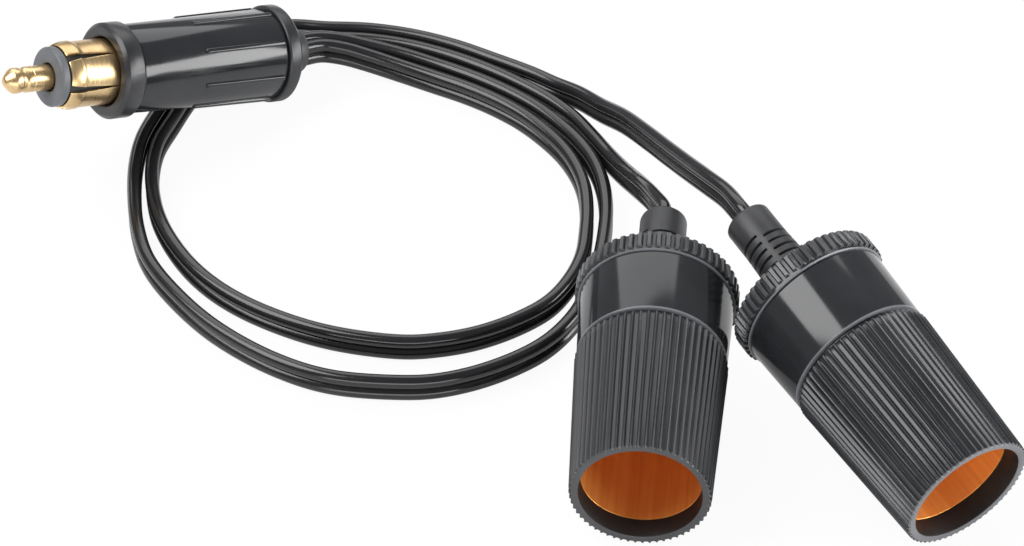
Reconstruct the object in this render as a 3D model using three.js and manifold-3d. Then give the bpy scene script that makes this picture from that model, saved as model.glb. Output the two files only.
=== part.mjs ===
// A 12 V DIN plug that feeds two female power sockets through two flat twin cables.
// Millimetres, +Z up. The floor is z = 0, and the origin lies under the middle of the
// plug and sockets. Each moulded or turned piece is drawn about its own axis, with its
// front at z = 0 and its body along -z, and is then laid on the floor.
import * as THREE from 'three';
import { mergeVertices } from 'three/addons/utils/BufferGeometryUtils.js';
import Module from 'manifold-3d';

const wasm = await Module();
wasm.setup();

// Fits
const seatGap = 0.25;         // clearance between pieces that touch
const cableGap = 0.35;        // clearance round a cable in its bush or boot
const cut = 1;                // how far a cutting tool runs past a face

// Flat twin cable
const cable = {
  conductor: 2.6,             // thickness, one insulated conductor
  pitch: 2.6,                 // between the two conductors' middles
  waist: 0.55,                // depth of the groove between them
  lead: 2.2,                  // a conductor split from the twin
  leadStraight: 3,            // before it turns to its tag
  leadLap: 1,                 // how far it lies along its tag
};

// Plug, to the 12 mm DIN pattern
const plug = {
  pinRadius: 2.4,
  pinLength: 9.4,             // in front of the insulator
  pinTipRadius: 0.5,
  pinCone: 1.6,
  pinNose: 3.15,
  pinGrooveDepth: 0.16,
  pinGroove: 1.1,
  pinTailRadius: 1.5,
  pinTail: 7,                 // behind the insulator
  insulatorFront: 1.6,
  insulatorSetback: 0.7,      // its rear end, in front of the spigot's
  sleeveRadius: 6.2,
  sleeveWall: 0.55,
  insulatorInset: 0.05,       // its front stands in from the sleeve's bore
  sleeveLeadIn: 0.45,
  sleeveBead: 2.7,
  sleeveBeadHeight: 0.22,
  sleeveSlot: 1.3,
  sleeveSlotRoot: 0.24,
  sleeveSlotSetback: 0.6,
  sleeveLeaves: 6,
  sleeveTurn: 5,              // degrees
  sleeveFlange: 0.7,
  sleeveRoom: 0.3,            // from its flange to the barrel's bore
  face: 11.8,                 // insulator face to flange face
  flangeStep: 0.65,           // beyond the barrel's front radius
  flangeLength: 3.9,
  flangeChamfer: 0.7,
  spigotLength: 5,
  spigotWall: 1.2,
  barrelTaper: 0.35,
  barrelWall: 1.2,
  barrelLength: 32.2,
  finCount: 8,
  finLength: 18,
  finHeight: 0.45,
  finWidth: 1,
  finSetback: 0.4,
  capStep: 0.6,               // beyond the barrel's rear radius
  capLength: 3,
  capChamfer: 0.6,
  capWall: 1.8,
  bushRadius: 4.85,
  bushNeckRadius: 4.35,
  bushEndRadius: 4.25,
  bushRing: 2,
  bushLength: 4.6,
  bushFlange: 1.2,
};

// Socket
const socket = {
  shellBore: 10.5,
  shellWall: 0.4,
  shellCorner: 1.6,
  shellHole: 3.2,
  shellSetback: 6.35,         // its floor to the collar's end
  mouthWall: 0.95,            // round the shell's space, at the mouth
  lipInset: 0.1,              // how far the lip stands inside the shell's bore
  lipDepth: 3.9,
  openingChamfer: 0.5,
  barrelLength: 31.3,
  barrelTaper: 1.3,
  barrelChamfer: 0.9,
  barrelNeck: 0.4,            // length of the neck between barrel and collar
  neckDepth: 0.6,
  flutes: 60,
  fluteDepth: 0.42,
  collarStep: 0.25,           // its front, inside the barrel's rear radius
  collarTaper: 0.5,
  collarBevel: 0.35,
  collarLength: 13.8,
  boltRadius: 1.5,
  boltHeadRadius: 2.9,
  boltHead: 1.3,
  boltLength: 7.7,
  contactRadius: 4.6,
  contactThickness: 0.9,
  frontWasherRadius: 7,
  rearWasherRadius: 5.6,
  washerThickness: 1,
  tagThickness: 0.5,
  tagWidth: 3.6,
  tagRing: 3.1,
  tagReach: 1.4,              // from the ring to the outside of its tail
  tagTail: 4.4,
  nutWidth: 5.5,
  nutThickness: 2,
  capStep: 0.85,              // beyond the collar's rear radius
  capLength: 4.2,
  capLip: 0.6,
  capLipInset: 0.5,
  capTeeth: 54,
  toothDepth: 0.5,
  capWall: 2,
  capSpigotWall: 1.3,
  bootRootRadius: 5,
  bootNeckRadius: 4.4,
  bootEndRadius: 4.25,
  bootLength: 17.6,
  bootEnd: 5.6,
  bootFlangeRadius: 6.4,
  bootFlange: 1.2,
  bootGrooves: 4,
  bootGroovePitch: 1.7,
  bootGroove: 0.7,
  bootGrooveDepth: 0.55,
  bootBand: 1.6,              // width of the two bands that break the grooves
  bandTurn: 30,               // degrees
};

// Layout. Places are those of each front face, and middle is the point of the layout that
// comes to the origin. Lift is the angle by which the cable holds a socket's rear up.
const middle = new THREE.Vector3(-3.332, -7.28, 0);
const plugPlace = { x: -85.8, y: 27.1, heading: 214.3, rise: 17.7 };
const socketPlaces = [
  { x: 21.5, y: -70.7, heading: 265, lift: 0 },
  { x: 76.5, y: -70.1, heading: 302.1, lift: 8 },
];

// Cable routes on the floor: out of the plug, once round the loop and on to a socket.
// The ends inside the plug and sockets are worked out from the pieces.
const cableRest = 2.7;
const routes = [
  [
    [-36.9, 58.3, 6.3], [-32.8, 58.9, 4.6], [-28.4, 58.5, 3.2], [-22.4, 56.4], [-15.4, 53.4],
    [-8.9, 49.9], [-3, 45.9], [2, 41.5], [6, 36.8], [9.5, 31.6], [12, 26], [13.5, 20],
    [13.9, 13.5], [13.6, 7], [12.8, 0.5], [10.6, -6], [6.8, -12.2], [1.4, -16.8], [-6.1, -20.8],
    [-13.6, -22.8], [-20, -23.2], [-32.6, -20.7], [-43.2, -15.9], [-51.6, -10], [-57.8, -3.3],
    [-62.5, 4.5], [-65.5, 12], [-67, 19], [-67.6, 26], [-67, 33], [-64.8, 40], [-61.4, 49.5],
    [-56.4, 58.3], [-50.6, 64.1], [-43.5, 66.2], [-36.5, 65.6], [-28, 65], [-20.4, 63.2],
    [-12.4, 59.9], [-5.3, 55.9], [1.2, 51.3], [7.1, 46.2], [12, 40.8], [16.2, 34.8],
    [19.5, 29, 2.8], [22, 23.2, 3.8], [24, 17.2, 5.7], [25.8, 9.8, 9.2], [27, 3.6, 12.8],
  ],
  [
    [-38.5, 61, 6.3], [-34, 61.8, 4.6], [-28.8, 61.6, 3.2], [-21.4, 59.7], [-13.9, 56.7],
    [-7.1, 52.9], [-0.9, 48.6], [4.6, 43.8], [9, 38.6], [12.8, 33], [15.6, 27], [17.1, 20.5],
    [17.5, 13.5], [17, 6.5], [15.8, -1.5], [13.9, -9], [11, -16.4], [6.5, -22.8], [1.4, -27.1],
    [-6, -31.2], [-13.4, -33.5], [-19.8, -33.9], [-32.2, -32.4], [-42.1, -27.9], [-53.2, -19.2],
    [-61.6, -9], [-66.5, -0.5], [-69, 8], [-70.3, 17], [-70.8, 26], [-70.2, 34], [-68, 41.8],
    [-64.2, 51.2], [-58.8, 60.4], [-52.5, 66.6], [-44.1, 69.4], [-36.4, 68.8], [-28, 68.3],
    [-19.5, 66.4], [-11, 63], [-3.5, 58.8], [3.3, 54], [9.5, 48.6], [14.9, 42.6],
    [19.6, 35.4, 4.4], [23.4, 27, 8.6], [27, 18, 13.2], [30.4, 10, 17.4], [33.2, 3.4, 20.6],
  ],
];

// Finishes
const finish = (color, roughness, metalness = 0) => ({ color, roughness, metalness });
const finishes = {
  satinBlack: finish(0x2b2c30, 0.5),
  glossBlack: finish(0x1c1d20, 0.25),
  mattBlack: finish(0x34353a, 0.7),
  rubberBlack: finish(0x2d2e31, 0.8),
  cableBlack: finish(0x17171a, 0.3),
  insulatorGrey: finish(0x6f757b, 0.5),
  brass: finish(0xd8b468, 0.3, 1),
  copperShell: finish(0xb8622a, 0.35, 1),
  steel: finish(0xb9bcc0, 0.35, 1),
  fibre: finish(0x8a4a35, 0.8),
  redLead: finish(0x9c2a22, 0.45),
};

// Solids

// A closed solid from any closed three.js geometry, turned outward if it isn't
function solidOf(geometry) {
  geometry.deleteAttribute('normal');
  geometry.deleteAttribute('uv');
  const merged = mergeVertices(geometry, 1e-4);
  const points = merged.getAttribute('position').array;
  const faces = [];
  let volume = 0;
  for (let i = 0; i < merged.index.count; i += 3) {
    const [a, b, c] = [0, 1, 2].map((k) => merged.index.getX(i + k));
    if (a === b || b === c || c === a) continue;
    const [p, q, r] = [a, b, c].map((k) => new THREE.Vector3().fromArray(points, 3 * k));
    volume += p.dot(q.cross(r));
    faces.push([a, b, c]);
  }
  const triangles = faces.flatMap(([a, b, c]) => (volume < 0 ? [a, c, b] : [a, b, c]));
  return new wasm.Manifold(new wasm.Mesh({
    numProp: 3,
    vertProperties: new Float32Array(points),
    triVerts: new Uint32Array(triangles),
  }));
}

function geometryOf(solid) {
  const mesh = solid.getMesh();
  const geometry = new THREE.BufferGeometry();
  geometry.setAttribute('position', new THREE.BufferAttribute(mesh.vertProperties, 3));
  geometry.setIndex(new THREE.BufferAttribute(mesh.triVerts, 1));
  geometry.computeVertexNormals();
  return geometry;
}

// A turned solid about z, from a profile of [radius, z] that starts and ends on the axis
// or closes on itself
function turned(profile, sides = 32) {
  const outline = profile.map(([r, z]) => new THREE.Vector2(r, z));
  const geometry = new THREE.LatheGeometry(outline, sides);
  geometry.rotateX(Math.PI / 2);
  return solidOf(geometry);
}

// A plain disc, rod or tube from z = back to z = front
const rod = (radius, front, back, sides = 32) => (
  turned([[0, back], [radius, back], [radius, front], [0, front]], sides)
);
const tube = (outer, inner, front, back, sides = 32) => (
  turned([[inner, back], [outer, back], [outer, front], [inner, front], [inner, back]], sides)
);

function box(width, depth, height, x, y, z) {
  const geometry = new THREE.BoxGeometry(width, depth, height);
  geometry.translate(x, y, z);
  return solidOf(geometry);
}

const joined = (...solids) => wasm.Manifold.union(solids);

// A solid whose section is a toothed circle: each section gives z and the radii of the
// crests and valleys, and crest is the share of the pitch that stays at crest height
function toothed(sections, teeth, crest) {
  const corners = [[0, 1], [crest, 1], [crest + (1 - crest) / 2, 0]];
  const points = [];
  for (const { z, high, low } of sections) {
    for (let tooth = 0; tooth < teeth; tooth += 1) {
      for (const [share, top] of corners) {
        const angle = (2 * Math.PI * (tooth + share)) / teeth;
        const radius = top ? high : low;
        points.push(radius * Math.cos(angle), radius * Math.sin(angle), z);
      }
    }
  }
  const around = teeth * corners.length;
  const faces = [];
  for (let ring = 0; ring < sections.length - 1; ring += 1) {
    for (let i = 0; i < around; i += 1) {
      const a = ring * around + i;
      const b = ring * around + ((i + 1) % around);
      faces.push(a, b, b + around, a, b + around, a + around);
    }
  }
  const ends = [[0, sections[0].z], [(sections.length - 1) * around, sections.at(-1).z]];
  ends.forEach(([start, z], last) => {
    const centre = points.length / 3;
    points.push(0, 0, z);
    for (let i = 0; i < around; i += 1) {
      const a = start + i;
      const b = start + ((i + 1) % around);
      faces.push(...(last ? [centre, a, b] : [centre, b, a]));
    }
  });
  const geometry = new THREE.BufferGeometry();
  geometry.setAttribute('position', new THREE.Float32BufferAttribute(points, 3));
  geometry.setIndex(faces);
  return solidOf(geometry);
}

// The twin cable's outline, two conductors side by side along x
function twinOutline(grow = 0) {
  const half = cable.pitch / 2;
  const radius = cable.conductor / 2 + grow;
  const outline = [];
  for (const side of [1, -1]) {
    for (const degrees of [-100, -45, 0, 45, 100]) {
      const angle = THREE.MathUtils.degToRad(degrees + (side < 0 ? 180 : 0));
      outline.push([side * half + radius * Math.cos(angle), radius * Math.sin(angle)]);
    }
    outline.push([0, side * (radius - cable.waist / 2)]);
  }
  return new THREE.Shape(outline.map(([x, y]) => new THREE.Vector2(x, y)));
}

// The slot that a cable passes through, on edge, from z = front to z = back
function cableSlot(offset, front, back) {
  const radius = cable.conductor / 2 + cableGap;
  const half = cable.pitch / 2;
  const bars = [-1, 1].map((side) => (
    rod(radius, front, back, 10).translate([offset, side * half, 0])
  ));
  const web = box(2 * radius, cable.pitch, front - back, offset, 0, (front + back) / 2);
  return joined(...bars, web);
}

function swept(outline, points, steps) {
  const path = new THREE.CatmullRomCurve3(points, false, 'centripetal');
  return new THREE.ExtrudeGeometry(outline, { steps, extrudePath: path, bevelEnabled: false });
}

function round(radius, sides = 6) {
  const corners = [...Array(sides).keys()].map((k) => {
    const angle = (2 * Math.PI * k) / sides;
    return new THREE.Vector2(radius * Math.cos(angle), radius * Math.sin(angle));
  });
  return new THREE.Shape(corners);
}

// Meshes and groups

function piece(name, shape, look) {
  const geometry = shape.isBufferGeometry ? shape : geometryOf(shape);
  const mesh = new THREE.Mesh(geometry, new THREE.MeshStandardMaterial(look));
  mesh.name = name;
  return mesh;
}

// Turns local -z to trail behind the piece and local y to point up
function laid(place, height, pieces) {
  const group = new THREE.Group();
  const heading = THREE.MathUtils.degToRad(place.heading);
  const rise = THREE.MathUtils.degToRad(place.rise);
  const front = new THREE.Vector3(
    Math.cos(heading) * Math.cos(rise), Math.sin(heading) * Math.cos(rise), Math.sin(rise),
  );
  const across = new THREE.Vector3(0, 0, 1).cross(front).normalize();
  const up = front.clone().cross(across);
  group.quaternion.setFromRotationMatrix(new THREE.Matrix4().makeBasis(across, up, front));
  group.position.set(place.x, place.y, height).sub(middle);
  group.add(...pieces);
  group.updateMatrixWorld(true);
  return group;
}

// How high the front face's middle sits, for a round piece that touches the floor with a
// ring of this radius at this distance behind the face
function restingHeight(place, radius, distance) {
  const rise = THREE.MathUtils.degToRad(place.rise);
  return radius * Math.cos(rise) + distance * Math.sin(rise);
}

// Plug pieces

const sleeveBore = plug.sleeveRadius - plug.sleeveWall;
const insulatorRadius = sleeveBore - plug.insulatorInset;
const barrelBore = plug.sleeveRadius + plug.sleeveFlange + plug.sleeveRoom;
const barrelFrontRadius = barrelBore + plug.barrelWall;
const barrelRearRadius = barrelFrontRadius + plug.barrelTaper;
const flangeRadius = barrelFrontRadius + plug.flangeStep;
const plugCapRadius = barrelRearRadius + plug.capStep;
const flangeRear = plug.face + plug.flangeLength;
const spigotRear = flangeRear + plug.spigotLength;
const barrelFront = flangeRear + seatGap;
const barrelRear = barrelFront + plug.barrelLength;
const plugRear = barrelRear + seatGap + plug.capLength;
const insulatorLength = spigotRear - plug.insulatorSetback;
const pinTail = insulatorLength + plug.pinTail;
const plugCableOffset = (cable.conductor + cableGap) / 2;
const plugCableEnd = plugRear - plug.capWall - plug.bushFlange - 2 * seatGap - 0.4;

function plugPin() {
  const noseRear = plug.pinLength - plug.pinNose;
  const shank = noseRear - plug.pinGroove;
  const groove = plug.pinRadius - plug.pinGrooveDepth;
  const slope = 0.5;
  return turned([
    [0, plug.pinLength],
    [plug.pinTipRadius, plug.pinLength - 0.1],
    [plug.pinRadius * 0.88, plug.pinLength - plug.pinCone * 0.8],
    [plug.pinRadius, plug.pinLength - plug.pinCone],
    [plug.pinRadius, noseRear],
    [groove, noseRear - plug.pinGrooveDepth],
    [groove, shank + plug.pinGrooveDepth],
    [plug.pinRadius, shank],
    [plug.pinRadius, -insulatorLength - seatGap],
    [plug.pinTailRadius, -insulatorLength - seatGap - slope],
    [plug.pinTailRadius, -pinTail],
    [0, -pinTail],
  ], 24);
}

function plugInsulator() {
  const bore = plug.pinRadius + seatGap;
  const body = sleeveBore - seatGap;
  return turned([
    [bore, 0],
    [insulatorRadius - 0.35, 0],
    [insulatorRadius, -0.35],
    [insulatorRadius, -plug.insulatorFront],
    [body, -plug.insulatorFront],
    [body, -insulatorLength],
    [bore, -insulatorLength],
    [bore, 0],
  ], 28);
}

// The spring sleeve: leaves between slots that narrow with slots that narrow to nothing at the root
function plugSleeve() {
  const front = -plug.insulatorFront - seatGap;
  const bead = front - plug.sleeveBead;
  const rear = -spigotRear;
  const flange = plug.sleeveRadius + plug.sleeveFlange;
  const wall = turned([
    [sleeveBore, front],
    [plug.sleeveRadius - plug.sleeveLeadIn, front],
    [plug.sleeveRadius + plug.sleeveBeadHeight, bead + 0.5],
    [plug.sleeveRadius + plug.sleeveBeadHeight, bead],
    [plug.sleeveRadius, bead - 0.3],
    [plug.sleeveRadius, rear - seatGap],
    [flange, rear - seatGap],
    [flange, rear - seatGap - plug.sleeveWall],
    [sleeveBore, rear - seatGap - plug.sleeveWall],
    [sleeveBore, front],
  ], 40);
  const root = -plug.face + plug.sleeveSlotSetback;
  const slot = new THREE.Shape([
    new THREE.Vector2(-plug.sleeveSlot / 2, front + cut),
    new THREE.Vector2(-plug.sleeveSlotRoot / 2, root),
    new THREE.Vector2(plug.sleeveSlotRoot / 2, root),
    new THREE.Vector2(plug.sleeveSlot / 2, front + cut),
  ]);
  const blades = [...Array(plug.sleeveLeaves).keys()].map((k) => {
    const depth = plug.sleeveWall + 2 * cut;
    const blade = new THREE.ExtrudeGeometry(slot, { depth, bevelEnabled: false });
    blade.translate(0, 0, sleeveBore - cut);
    blade.applyMatrix4(new THREE.Matrix4().makeBasis(
      new THREE.Vector3(0, 1, 0), new THREE.Vector3(0, 0, 1), new THREE.Vector3(1, 0, 0),
    ));
    return solidOf(blade).rotate([0, 0, plug.sleeveTurn + (360 / plug.sleeveLeaves) * k]);
  });
  return wall.subtract(joined(...blades));
}

// The front flange, with the spigot that carries the barrel
function plugFlange() {
  const bore = plug.sleeveRadius + seatGap;
  const spigot = barrelBore - seatGap;
  return turned([
    [bore, -plug.face],
    [flangeRadius - plug.flangeChamfer, -plug.face],
    [flangeRadius, -plug.face - plug.flangeChamfer],
    [flangeRadius, -flangeRear],
    [spigot, -flangeRear],
    [spigot, -spigotRear],
    [bore, -spigotRear],
    [bore, -plug.face],
  ], 40);
}

function plugBarrel() {
  const shell = turned([
    [barrelBore, -barrelFront],
    [barrelFrontRadius - 0.3, -barrelFront],
    [barrelFrontRadius, -barrelFront - 0.3],
    [barrelRearRadius, -barrelRear],
    [barrelBore, -barrelRear],
    [barrelBore, -barrelFront],
  ], 40);
  const finRear = barrelRear - plug.finSetback;
  const fin = new THREE.Shape([
    new THREE.Vector2(barrelFrontRadius - 0.6, -finRear),
    new THREE.Vector2(barrelRearRadius + plug.finHeight, -finRear),
    new THREE.Vector2(barrelRearRadius + plug.finHeight - 0.1, -finRear + plug.finLength - 0.5),
    new THREE.Vector2(barrelFrontRadius - 0.6, -finRear + plug.finLength),
  ]);
  const turn = 360 / plug.finCount;
  const fins = [...Array(plug.finCount).keys()].map((k) => {
    const blade = new THREE.ExtrudeGeometry(fin, { depth: plug.finWidth, bevelEnabled: false });
    blade.translate(0, 0, -plug.finWidth / 2);
    blade.rotateX(Math.PI / 2);
    return solidOf(blade).rotate([0, 0, turn * k]);
  });
  return joined(shell, ...fins);
}

function plugEndCap() {
  const front = -barrelRear - seatGap;
  const hole = plug.bushNeckRadius + seatGap;
  const wallFront = -plugRear + plug.capWall;
  const spigot = barrelBore - seatGap;
  return turned([
    [spigot - plug.spigotWall, wallFront],
    [spigot - plug.spigotWall, front + plug.spigotLength],
    [spigot, front + plug.spigotLength],
    [spigot, front],
    [plugCapRadius - 0.3, front],
    [plugCapRadius, front - 0.3],
    [plugCapRadius, -plugRear + plug.capChamfer],
    [plugCapRadius - plug.capChamfer, -plugRear],
    [hole, -plugRear],
    [hole, wallFront],
    [spigot - plug.spigotWall, wallFront],
  ], 32);
}

// The cable bush: a flange inside the cap, a neck in its hole, and a ring and cone outside
function plugBush() {
  const wallFront = -plugRear + plug.capWall + seatGap;
  const outside = -plugRear - seatGap;
  const flange = barrelBore - plug.spigotWall - 2 * seatGap;
  const body = turned([
    [0, wallFront + plug.bushFlange],
    [flange, wallFront + plug.bushFlange],
    [flange, wallFront],
    [plug.bushNeckRadius, wallFront],
    [plug.bushNeckRadius, outside],
    [plug.bushRadius, outside],
    [plug.bushRadius, outside - plug.bushRing + 0.3],
    [plug.bushRadius - 0.3, outside - plug.bushRing],
    [plug.bushEndRadius, outside - plug.bushLength],
    [0, outside - plug.bushLength],
  ], 24);
  const front = wallFront + plug.bushFlange + cut;
  const back = outside - plug.bushLength - cut;
  return body.subtract(joined(
    cableSlot(plugCableOffset, front, back), cableSlot(-plugCableOffset, front, back),
  ));
}

// A ring tag on the pin's tail, with an arm that runs back along the barrel
function plugPinTag() {
  const back = -pinTail + 1.2;
  const ring = tube(socket.tagRing, plug.pinTailRadius + seatGap, back, back - socket.tagThickness, 24);
  const arm = box(socket.tagThickness, 2, socket.tagTail, 0, socket.tagRing - 0.3,
    back - socket.tagThickness - socket.tagTail / 2 + 0.2);
  return joined(ring, arm);
}

// A flat ring tag behind the sleeve's flange, with an arm that runs back
function plugSleeveTag() {
  const back = -spigotRear - plug.sleeveWall - 2 * seatGap;
  const outer = plug.sleeveRadius + 0.35;
  const ring = tube(outer, insulatorRadius - 1.2, back, back - socket.tagThickness, 32);
  const length = pinTail - spigotRear + 2;
  const arm = box(2, socket.tagThickness, length, 0, -outer + 0.7, back - length / 2);
  return joined(ring, arm);
}

// Socket pieces

const shellOuter = socket.shellBore + socket.shellWall;
const housingBore = shellOuter + seatGap;
const openingRadius = socket.shellBore - socket.lipInset;
const mouthRadius = housingBore + socket.mouthWall;
const barrelRadius = mouthRadius + socket.barrelTaper;
const collarFrontRadius = barrelRadius - socket.collarStep;
const collarRearRadius = collarFrontRadius + socket.collarTaper;
const capRadius = collarRearRadius + socket.capStep;
const barrelEnd = socket.barrelLength;
const collarEnd = barrelEnd + socket.collarLength;
const capFront = collarEnd + seatGap;
const capRear = capFront + socket.capLength;
const shellFront = socket.lipDepth + seatGap;
const shellRear = collarEnd - socket.shellSetback;
const bootRear = capRear + socket.bootLength;
const socketCableEnd = capRear - socket.capWall - socket.bootFlange - seatGap + cable.conductor / 4;

// The washers, contact, tags, bolt and nut stack up from the shell's floor
const floorFront = shellRear - socket.shellWall;
const washerFront = floorFront - seatGap - socket.washerThickness;
const contactFront = washerFront - seatGap - socket.contactThickness;
const boltFront = contactFront - seatGap - socket.boltHead;
const rearWasher = shellRear + seatGap;
const tagFront = rearWasher + socket.washerThickness + seatGap;
const nutFront = tagFront + socket.tagThickness + seatGap;

// The housing: a fluted barrel that tapers to the mouth, and a smooth collar, moulded in one
function socketHousing() {
  const low = (radius) => radius - socket.fluteDepth;
  const neck = low(barrelRadius) - socket.neckDepth;
  const collarFront = barrelEnd + socket.barrelNeck;
  const barrel = toothed([
    {
      z: -barrelEnd,
      high: barrelRadius - socket.barrelChamfer,
      low: low(barrelRadius) - socket.barrelChamfer / 2,
    },
    { z: -barrelEnd + socket.barrelChamfer, high: barrelRadius, low: low(barrelRadius) },
    { z: 0, high: mouthRadius, low: low(mouthRadius) },
  ], socket.flutes, 0.34);
  const collar = turned([
    [0, -barrelEnd + cut],
    [neck, -barrelEnd + cut],
    [neck, -collarFront],
    [collarFrontRadius - socket.collarBevel, -collarFront],
    [collarFrontRadius, -collarFront - socket.collarBevel],
    [collarRearRadius, -collarEnd],
    [0, -collarEnd],
  ], 40);
  const opening = turned([
    [0, cut],
    [openingRadius + socket.openingChamfer + cut, cut],
    [openingRadius, -socket.openingChamfer],
    [openingRadius, -socket.lipDepth],
    [housingBore, -socket.lipDepth],
    [housingBore, -collarEnd - cut],
    [0, -collarEnd - cut],
  ], 32);
  return joined(barrel, collar).subtract(opening);
}

// The drawn metal shell, a cup with a round corner and a hole in its floor
function socketShell() {
  const corner = socket.shellCorner;
  const arc = (radius, centreR, centreZ, steps) => [...Array(steps + 1).keys()].map((k) => {
    const angle = (Math.PI / 2) * (k / steps);
    return [centreR + radius * Math.cos(angle), centreZ - radius * Math.sin(angle)];
  });
  const outside = arc(corner, shellOuter - corner, -shellRear + corner, 2);
  const inside = arc(corner - socket.shellWall, shellOuter - corner, -shellRear + corner, 2);
  return turned([
    [socket.shellBore, -shellFront],
    [shellOuter, -shellFront],
    ...outside,
    [socket.shellHole, -shellRear],
    [socket.shellHole, -floorFront],
    ...inside.reverse(),
    [socket.shellBore, -shellFront],
  ], 32);
}

function socketContact() {
  const hole = socket.boltRadius + seatGap;
  const rim = socket.contactRadius;
  const thickness = socket.contactThickness;
  return turned([
    [hole, -contactFront],
    [rim * 0.7, -contactFront],
    [rim, -contactFront - thickness * 0.55],
    [rim, -contactFront - thickness],
    [hole, -contactFront - thickness],
    [hole, -contactFront],
  ], 20);
}

function socketBolt() {
  const headRear = -contactFront + seatGap;
  return turned([
    [0, -boltFront],
    [socket.boltHeadRadius * 0.5, -boltFront - 0.12],
    [socket.boltHeadRadius * 0.85, -boltFront - 0.5],
    [socket.boltHeadRadius, headRear],
    [socket.boltRadius, headRear],
    [socket.boltRadius, headRear - socket.boltLength],
    [0, headRear - socket.boltLength],
  ], 16);
}

const washer = (radius, front) => (
  tube(radius, socket.boltRadius + seatGap, -front, -front - socket.washerThickness, 20)
);

function socketNut() {
  const hex = rod(socket.nutWidth / Math.sqrt(3), -nutFront, -nutFront - socket.nutThickness, 6);
  const hole = socket.boltRadius + seatGap;
  return hex.subtract(rod(hole, -nutFront + cut, -nutFront - socket.nutThickness - cut, 16));
}

function socketPositiveTag() {
  const back = -tagFront - socket.tagThickness;
  const ring = rod(socket.tagRing, -tagFront, back, 16);
  const reach = socket.tagRing + socket.tagReach;
  const arm = box(socket.tagWidth, reach, socket.tagThickness, 0, reach / 2, back + socket.tagThickness / 2);
  const tail = box(socket.tagWidth, socket.tagThickness, socket.tagTail, 0, reach - socket.tagThickness / 2,
    -tagFront - socket.tagTail / 2);
  const hole = rod(socket.boltRadius + seatGap, -tagFront + cut, back - cut, 16);
  return joined(ring, arm, tail).subtract(hole);
}

// A tag welded to the shell's floor, outside the washer
function socketNegativeTag() {
  const front = -shellRear - seatGap;
  const inner = socket.rearWasherRadius + 2 * seatGap;
  const outer = shellOuter - socket.shellCorner - seatGap;
  const foot = box(socket.tagWidth, outer - inner, socket.tagThickness, 0, -(inner + outer) / 2,
    front - socket.tagThickness / 2);
  const tail = box(socket.tagWidth, socket.tagThickness, socket.tagTail, 0,
    -inner - socket.tagThickness / 2, front - socket.tagTail / 2);
  return joined(foot, tail);
}

// The rear cap: a toothed ring with a plain lip, a rear wall and a spigot in the housing
function socketCap() {
  const spigot = housingBore - seatGap;
  const lipRear = -capFront - socket.capLip;
  const grip = toothed([
    { z: -capRear, high: capRadius, low: capRadius - socket.toothDepth },
    { z: lipRear, high: capRadius, low: capRadius - socket.toothDepth },
  ], socket.capTeeth, 0.42);
  const lip = rod(capRadius - socket.capLipInset, -capFront, lipRear - cut, 48);
  const neck = rod(spigot, -shellRear - seatGap, -capRear + socket.capWall, 40);
  const inside = rod(spigot - socket.capSpigotWall, -shellRear + cut, -capRear + socket.capWall);
  const hole = rod(socket.bootNeckRadius + seatGap, 0, -capRear - cut, 24);
  return joined(grip, lip, neck).subtract(joined(inside, hole));
}

// The rubber boot: a flange behind the cap's wall, a neck in its hole, a flared root with
// rings of grooves, and a plain end
function socketBoot() {
  const wallFront = -capRear + socket.capWall + seatGap;
  const outside = -capRear - seatGap;
  const groovesEnd = -bootRear + socket.bootEnd;
  const body = turned([
    [0, wallFront + socket.bootFlange],
    [socket.bootFlangeRadius, wallFront + socket.bootFlange],
    [socket.bootFlangeRadius, wallFront],
    [socket.bootNeckRadius, wallFront],
    [socket.bootNeckRadius, outside],
    [socket.bootRootRadius, outside],
    [socket.bootRootRadius * 0.96, outside - 2.4],
    [socket.bootEndRadius, groovesEnd],
    [socket.bootEndRadius, -bootRear + 0.5],
    [socket.bootEndRadius - 0.5, -bootRear],
    [0, -bootRear],
  ], 20);
  const rings = [...Array(socket.bootGrooves).keys()].map((k) => {
    const front = groovesEnd + k * socket.bootGroovePitch + socket.bootGroove;
    const taper = (socket.bootRootRadius - socket.bootEndRadius) * (k / socket.bootGrooves) * 0.7;
    const floor = socket.bootEndRadius + taper - socket.bootGrooveDepth;
    return tube(socket.bootRootRadius + cut, floor, front, front - socket.bootGroove, 20);
  });
  const reach = 2 * (socket.bootRootRadius + 2 * cut);
  const span = socket.bootGrooves * socket.bootGroovePitch + 2;
  const band = box(socket.bootBand, reach, span, 0, 0, groovesEnd + span / 2 - cut);
  const grooves = joined(...rings).subtract(band.rotate([0, 0, socket.bandTurn]));
  const slot = cableSlot(0, wallFront + socket.bootFlange + cut, -bootRear - cut);
  return body.subtract(joined(grooves, slot));
}

// Conductors split from a twin cable and run to their tags
const lead = (points) => (
  swept(round(cable.lead / 2), points.map((point) => new THREE.Vector3(...point)), 5)
);

function socketLeads(number) {
  const half = cable.pitch / 2;
  const start = -socketCableEnd + seatGap;
  const straight = start + 0.9 * cable.leadLap;
  const positiveTail = -tagFront - socket.tagTail;
  const negativeTail = -shellRear - seatGap - socket.tagTail;
  const reach = socket.tagRing + socket.tagReach;
  const positiveY = reach - socket.tagThickness - seatGap - cable.lead / 2;
  const negativeY = -socket.rearWasherRadius - 2 * seatGap + seatGap + cable.lead / 2;
  return [
    piece(`socket_${number}_positive_lead`, lead([
      [0, half, start], [0, half, straight],
      [0, positiveY, positiveTail], [0, positiveY, positiveTail + 0.8 * cable.leadLap],
    ]), finishes.redLead),
    piece(`socket_${number}_negative_lead`, lead([
      [0, -half, start], [0, -half, straight],
      [0, negativeY, negativeTail - 0.4], [0, negativeY, negativeTail + cable.leadLap],
    ]), finishes.cableBlack),
  ];
}

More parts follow.
